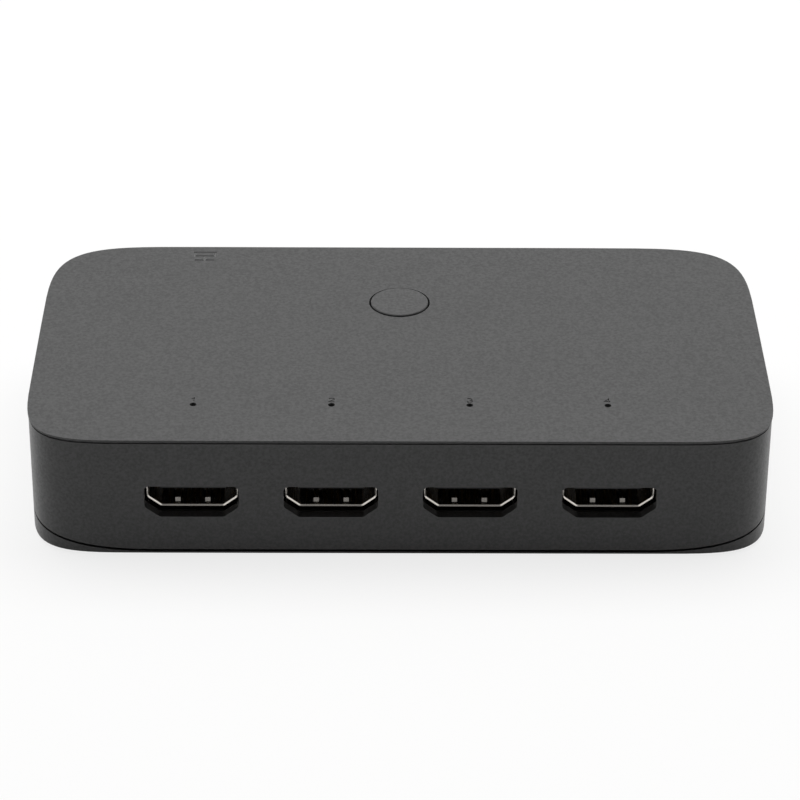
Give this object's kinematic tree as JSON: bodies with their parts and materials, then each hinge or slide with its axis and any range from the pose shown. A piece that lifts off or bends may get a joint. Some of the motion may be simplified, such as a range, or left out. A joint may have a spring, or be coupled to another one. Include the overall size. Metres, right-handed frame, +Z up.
{
  "type": "kvm switch",
  "caption": "Flat desktop switch box with soft square corners, a row of video sockets in front, a round select button and indicator pin holes on top, and sockets behind.",
  "frame": {"origin": "middle of the case in plan, on the plane that the four feet stand on", "axes": "+X along the width to the right seen from the front, -Y out of the front wall with the video inputs, +Z up"},
  "size_m": [0.12, 0.0654, 0.0219],
  "materials": {
    "case_plastic": "moulded, fine spark-eroded texture",
    "button_plastic": "moulded, fine spark-eroded texture",
    "board_laminate": "black solder mask over glass-fibre laminate",
    "socket_plastic": "moulded black insulator",
    "nickel_shell": "stamped and nickel plated",
    "gold_contact": "gold flashed",
    "clear_guide": "clear moulded",
    "lamp_resin": "cast resin",
    "chip_epoxy": "moulded epoxy",
    "capacitor_can": "drawn can",
    "ceramic": "fired ceramic",
    "foot_rubber": "moulded",
    "screw_steel": "black zinc"
  },
  "bodies": {
    "case": {"top_panel": "case_plastic", "housing": "case_plastic", "base_cover": "case_plastic", "circuit_board": "board_laminate", "select_switch": "socket_plastic", "switch_cover": "nickel_shell", "video_in_1_shell": "nickel_shell", "video_in_1_insulator": "socket_plastic", "video_in_1_contacts": "gold_contact", "video_in_2_shell": "nickel_shell", "video_in_2_insulator": "socket_plastic", "video_in_2_contacts": "gold_contact", "video_in_3_shell": "nickel_shell", "video_in_3_insulator": "socket_plastic", "video_in_3_contacts": "gold_contact", "video_in_4_shell": "nickel_shell", "video_in_4_insulator": "socket_plastic", "video_in_4_contacts": "gold_contact", "video_out_shell": "nickel_shell", "video_out_insulator": "socket_plastic", "video_out_contacts": "gold_contact", "keyboard_shell": "nickel_shell", "keyboard_insulator": "socket_plastic", "keyboard_contacts": "gold_contact", "mouse_shell": "nickel_shell", "mouse_insulator": "socket_plastic", "mouse_contacts": "gold_contact", "computer_1_shell": "nickel_shell", "computer_1_insulator": "socket_plastic", "computer_2_shell": "nickel_shell", "computer_2_insulator": "socket_plastic", "computer_3_shell": "nickel_shell", "computer_3_insulator": "socket_plastic", "computer_4_shell": "nickel_shell", "computer_4_insulator": "socket_plastic", "computer_contacts": "gold_contact", "light_guide_1": "clear_guide", "light_guide_2": "clear_guide", "light_guide_3": "clear_guide", "light_guide_4": "clear_guide", "lamp_1": "lamp_resin", "lamp_2": "lamp_resin", "lamp_3": "lamp_resin", "lamp_4": "lamp_resin", "video_chip": "chip_epoxy", "hub_chip": "chip_epoxy", "control_chip": "chip_epoxy", "crystal": "nickel_shell", "filter_capacitor": "capacitor_can", "board_capacitors": "ceramic", "foot_1": "foot_rubber", "foot_2": "foot_rubber", "foot_3": "foot_rubber", "foot_4": "foot_rubber", "case_screws": "screw_steel"},
    "button": {"push_button": "button_plastic"},
    "plunger": {"switch_plunger": "socket_plastic"}
  },
  "joints": [
    {"name": "button_press", "type": "slide", "parent": "case", "child": "button", "axis": [0, 0, -1], "range_m": [0, 0.00035], "stiffness_N_per_m": 4500},
    {"name": "plunger_press", "type": "slide", "parent": "case", "child": "plunger", "axis": [0, 0, -1], "range_m": [0, 0.00035]}
  ],
  "couplings": [
    {"joint": "plunger_press", "follows": "button_press", "ratio": 1}
  ]
}
